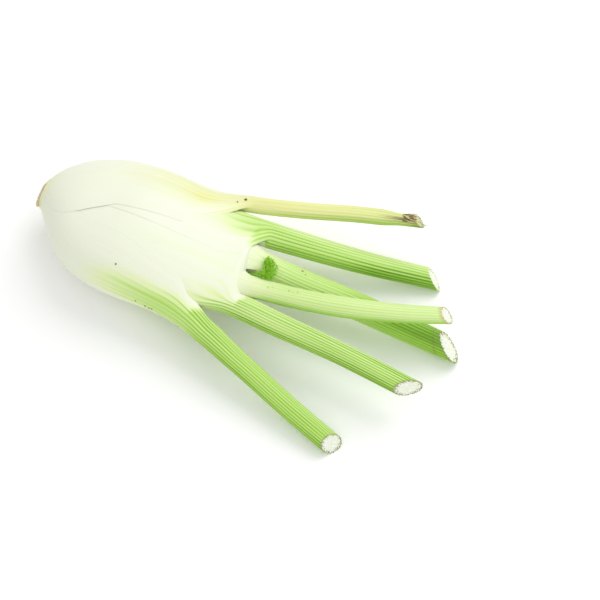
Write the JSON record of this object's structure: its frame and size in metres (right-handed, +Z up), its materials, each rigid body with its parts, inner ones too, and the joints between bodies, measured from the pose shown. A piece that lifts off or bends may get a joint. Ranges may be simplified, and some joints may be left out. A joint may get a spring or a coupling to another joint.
{
  "type": "fennel bulb",
  "caption": "Trimmed fennel bulb lying on its broad side: white leaf bases layered on a corky root, running into ribbed green stalks cut short, with a small feathery tuft between them.",
  "frame": {"origin": "middle of the small flat spot under the belly that the bulb rests on", "axes": "+X from the root towards the cut stalks, +Y towards the slim yellow outer stalk, +Z up from the surface it lies on"},
  "size_m": [0.2759, 0.1552, 0.0516],
  "materials": {
    "outer_leaf_yellowed": "smooth waxy skin, cream white with a yellow streak, stalk yellowed, cut end dry and split",
    "leaf_green": "smooth moist waxy skin, cream white at the bulb turning to ribbed fresh green on the stalk, white pith in the cut end",
    "leaf_pale": "smooth moist waxy skin, pale yellow green, with fine pale ribs and a tan rim on the cut end",
    "heart_white": "smooth moist white flesh",
    "frond_green": "fresh bright green feathery leaflets",
    "root_cork": "dry corky cut root, tan and cream"
  },
  "bodies": {
    "root": {"leaf_outer_left": "outer_leaf_yellowed", "leaf_outer_right": "leaf_green", "leaf_middle_left": "leaf_green", "leaf_middle_right": "leaf_green", "leaf_inner_left": "leaf_green", "leaf_inner_right": "leaf_pale", "heart_leaf": "heart_white", "heart_frond": "frond_green", "root_plate": "root_cork"}
  },
  "joints": []
}
